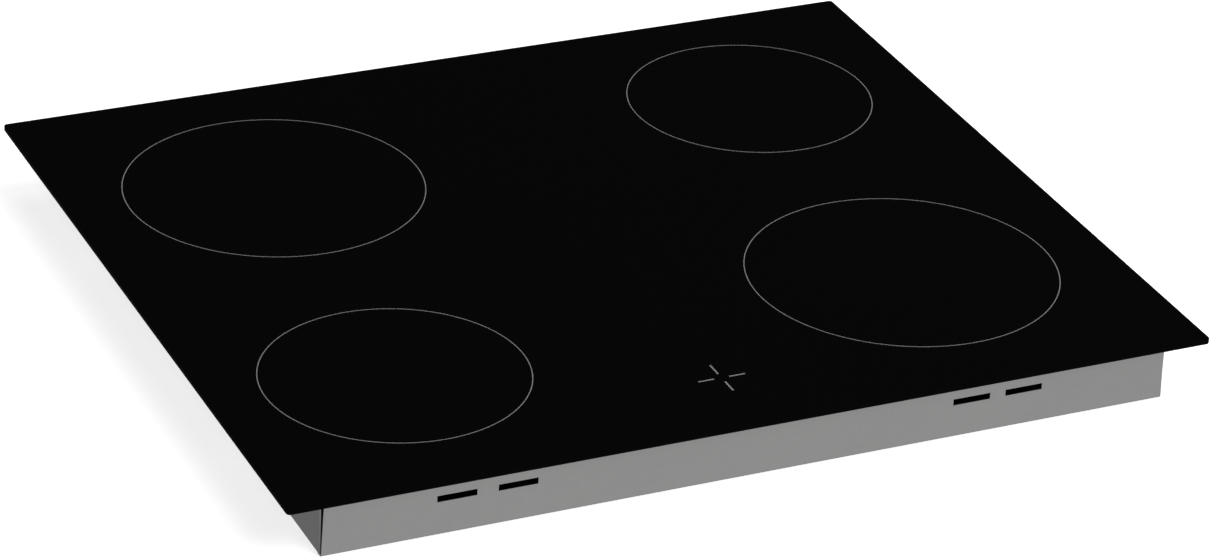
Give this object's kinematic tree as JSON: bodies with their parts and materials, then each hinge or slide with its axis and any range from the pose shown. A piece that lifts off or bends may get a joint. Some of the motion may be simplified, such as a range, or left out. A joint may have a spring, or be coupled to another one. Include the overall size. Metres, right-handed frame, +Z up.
{
  "type": "electric induction cooktop",
  "caption": "Built-in induction cooktop: a black glass plate with printed cooking-zone rings and a small cross, over a shallow folded steel tray with air slots in its front wall.",
  "frame": {"origin": "middle of the glass plate in X and Y, at the height of the tray's underside", "axes": "+X to the right of a person facing the front, +Y towards the rear, +Z up"},
  "size_m": [0.59, 0.511, 0.0415],
  "materials": {
    "black_glass_ceramic": "polished top, ground edges",
    "enamel_print": "fired ceramic ink, satin",
    "silicone": "cast, satin",
    "foam_seal": "closed-cell foam, matte",
    "galvanised_steel": "rolled zinc coat, satin",
    "zinc_plated_screw": "zinc plated",
    "spring_steel": "rolled, bright",
    "aluminium_sheet": "rolled, satin",
    "black_nylon": "moulded, satin",
    "ferrite": "sintered, matte",
    "enamelled_copper": "enamelled wire, glossy",
    "mica": "pressed mica sheet",
    "sensor_cap": "sintered alumina",
    "circuit_board": "solder-masked laminate, satin",
    "extruded_aluminium": "extruded, satin",
    "epoxy_package": "moulded epoxy, matte",
    "capacitor_case": "moulded case, semi-gloss",
    "white_nylon": "moulded, satin",
    "clear_acrylic": "polished"
  },
  "bodies": {
    "appliance": {"glass_plate": "black_glass_ceramic", "zone_print": "enamel_print", "glass_adhesive": "silicone", "worktop_seal": "foam_seal", "glass_frame": "galvanised_steel", "tray": "galvanised_steel", "wall_screws": "zinc_plated_screw", "inner_screws": "zinc_plated_screw", "coil_plate_left": "aluminium_sheet", "coil_plate_right": "aluminium_sheet", "springs_rear_left": "spring_steel", "springs_rear_right": "spring_steel", "springs_front_left": "spring_steel", "springs_front_right": "spring_steel", "power_board_left": "circuit_board", "power_board_right": "circuit_board", "heat_sink_left": "extruded_aluminium", "heat_sink_right": "extruded_aluminium", "power_transistors": "epoxy_package", "film_capacitors": "capacitor_case", "chokes": "enamelled_copper", "board_spacers": "white_nylon", "blower_housing_left": "black_nylon", "blower_housing_right": "black_nylon", "blower_motors": "enamelled_copper", "filter_board": "circuit_board", "terminal_box": "white_nylon", "terminal_block": "white_nylon", "cable_gland": "silicone", "cord_clamp": "white_nylon", "touch_board": "circuit_board", "touch_board_holder": "black_nylon", "light_guides": "clear_acrylic"},
    "inductor_rear_left": {"former_rear_left": "black_nylon", "ferrites_rear_left": "ferrite", "winding_rear_left": "enamelled_copper", "insulator_rear_left": "mica", "sensor_rear_left": "sensor_cap"},
    "inductor_rear_right": {"former_rear_right": "black_nylon", "ferrites_rear_right": "ferrite", "winding_rear_right": "enamelled_copper", "insulator_rear_right": "mica", "sensor_rear_right": "sensor_cap"},
    "inductor_front_left": {"former_front_left": "black_nylon", "ferrites_front_left": "ferrite", "winding_front_left": "enamelled_copper", "insulator_front_left": "mica", "sensor_front_left": "sensor_cap"},
    "inductor_front_right": {"former_front_right": "black_nylon", "ferrites_front_right": "ferrite", "winding_front_right": "enamelled_copper", "insulator_front_right": "mica", "sensor_front_right": "sensor_cap"},
    "impeller_left_body": {"impeller_left": "black_nylon"},
    "impeller_right_body": {"impeller_right": "black_nylon"},
    "terminal_cover_body": {"terminal_cover": "white_nylon"},
    "leaf_clip_front_left": {"clip_front_left": "spring_steel"},
    "leaf_clip_front_right": {"clip_front_right": "spring_steel"},
    "leaf_clip_rear_left": {"clip_rear_left": "spring_steel"},
    "leaf_clip_rear_right": {"clip_rear_right": "spring_steel"}
  },
  "joints": [
    {"name": "press_rear_left", "type": "slide", "parent": "appliance", "child": "inductor_rear_left", "axis": [0, 0, 1], "range_m": [-0.0025, 0], "stiffness_N_per_m": 4000, "springref_m": 0.003, "deforming": ["springs_rear_left"]},
    {"name": "press_rear_right", "type": "slide", "parent": "appliance", "child": "inductor_rear_right", "axis": [0, 0, 1], "range_m": [-0.0025, 0], "stiffness_N_per_m": 4000, "springref_m": 0.003, "deforming": ["springs_rear_right"]},
    {"name": "press_front_left", "type": "slide", "parent": "appliance", "child": "inductor_front_left", "axis": [0, 0, 1], "range_m": [-0.0025, 0], "stiffness_N_per_m": 4000, "springref_m": 0.003, "deforming": ["springs_front_left"]},
    {"name": "press_front_right", "type": "slide", "parent": "appliance", "child": "inductor_front_right", "axis": [0, 0, 1], "range_m": [-0.0025, 0], "stiffness_N_per_m": 4000, "springref_m": 0.003, "deforming": ["springs_front_right"]},
    {"name": "spin_left", "type": "hinge", "parent": "appliance", "child": "impeller_left_body", "pos_m": [-0.196, 0.13, 0.01], "axis": [0, 0, 1], "continuous": true},
    {"name": "spin_right", "type": "hinge", "parent": "appliance", "child": "impeller_right_body", "pos_m": [0.1832, 0.13, 0.01], "axis": [0, 0, 1], "continuous": true},
    {"name": "cover_hinge", "type": "hinge", "parent": "appliance", "child": "terminal_cover_body", "pos_m": [0, 0.187, 0.0024], "axis": [-1, 0, 0], "range_deg": [0, 90]},
    {"name": "flex_front_left", "type": "slide", "parent": "appliance", "child": "leaf_clip_front_left", "axis": [1, 0, 0], "range_m": [0, 0.004], "stiffness_N_per_m": 5000, "springref_m": -0.002, "deforming": ["clip_front_left"]},
    {"name": "flex_front_right", "type": "slide", "parent": "appliance", "child": "leaf_clip_front_right", "axis": [-1, 0, 0], "range_m": [0, 0.004], "stiffness_N_per_m": 5000, "springref_m": -0.002, "deforming": ["clip_front_right"]},
    {"name": "flex_rear_left", "type": "slide", "parent": "appliance", "child": "leaf_clip_rear_left", "axis": [1, 0, 0], "range_m": [0, 0.004], "stiffness_N_per_m": 5000, "springref_m": -0.002, "deforming": ["clip_rear_left"]},
    {"name": "flex_rear_right", "type": "slide", "parent": "appliance", "child": "leaf_clip_rear_right", "axis": [-1, 0, 0], "range_m": [0, 0.004], "stiffness_N_per_m": 5000, "springref_m": -0.002, "deforming": ["clip_rear_right"]}
  ]
}
